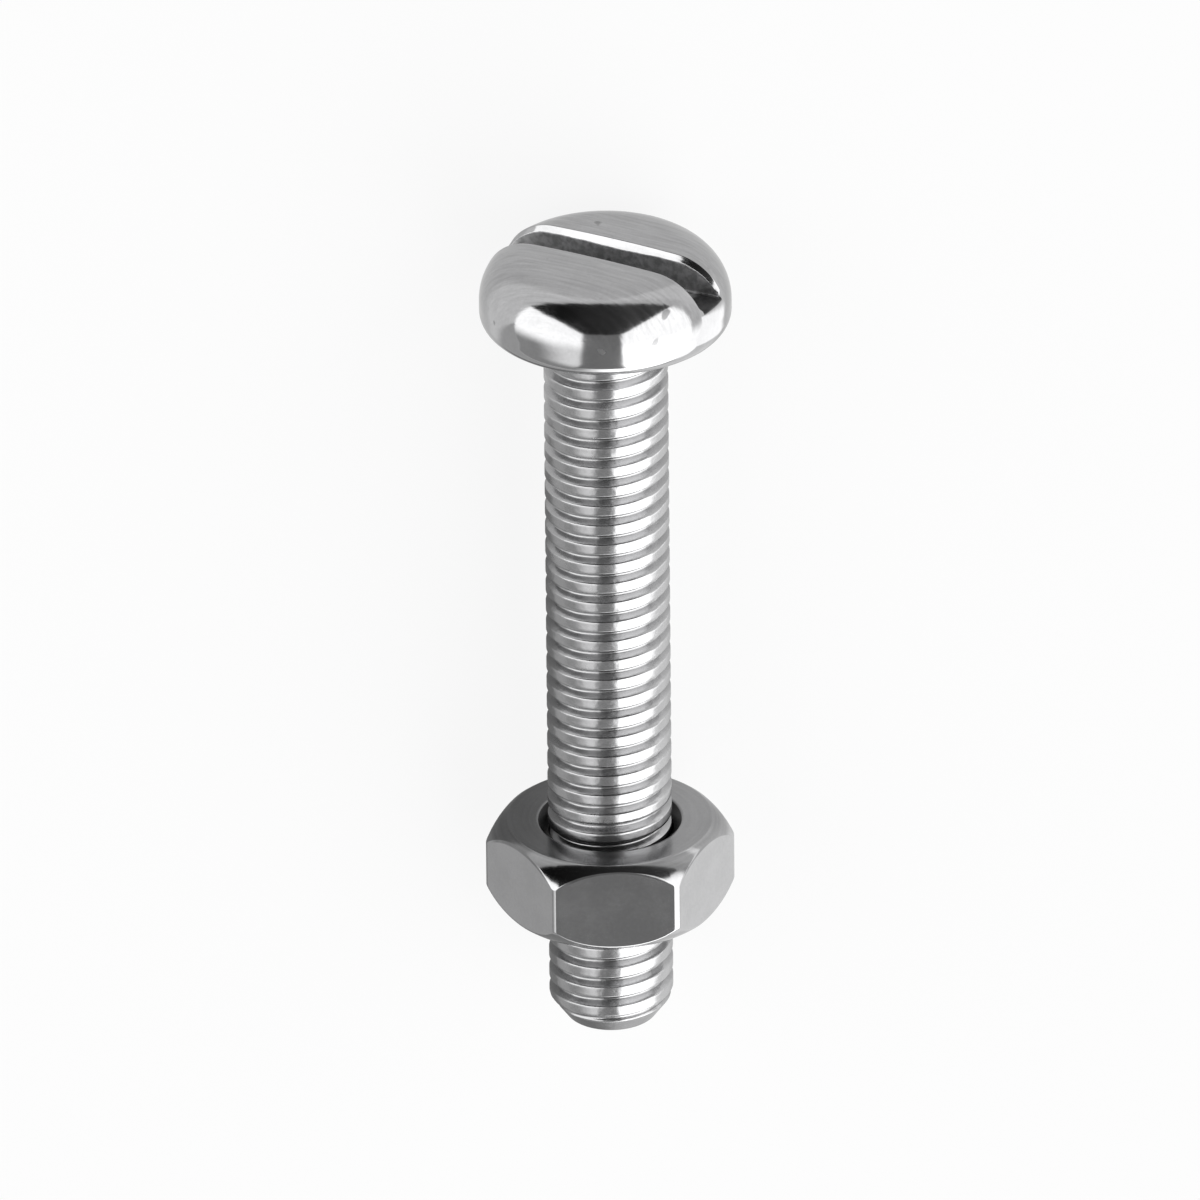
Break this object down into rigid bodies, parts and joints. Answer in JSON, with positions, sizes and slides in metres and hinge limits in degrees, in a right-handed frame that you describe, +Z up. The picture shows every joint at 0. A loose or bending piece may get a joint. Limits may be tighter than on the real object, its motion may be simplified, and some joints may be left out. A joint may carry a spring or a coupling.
{
  "type": "machine screw",
  "caption": "Slotted pan head machine screw, threaded to the head, with a hexagon nut run on from its tip.",
  "frame": {"origin": "middle of the part's footprint, at the level of the surface it lies on", "axes": "+X from the head towards the tip and level with the surface, while the screw's own axis dips towards the tip by 1.47 degrees, because it lies on its head's rim and a flat of its nut; +Z up"},
  "size_m": [0.0278, 0.0082, 0.0081],
  "materials": {
    "plated_screw": "bright plated steel",
    "plated_nut": "bright plated steel"
  },
  "bodies": {
    "screw": {"slotted_screw": "plated_screw"},
    "nut": {"hex_nut": "plated_nut"}
  },
  "joints": [
    {"name": "nut_travel", "type": "slide", "parent": "screw", "child": "nut", "axis": [0.9997, 0, -0.0256], "range_m": [-0.0175, 0.0084]}
  ]
}
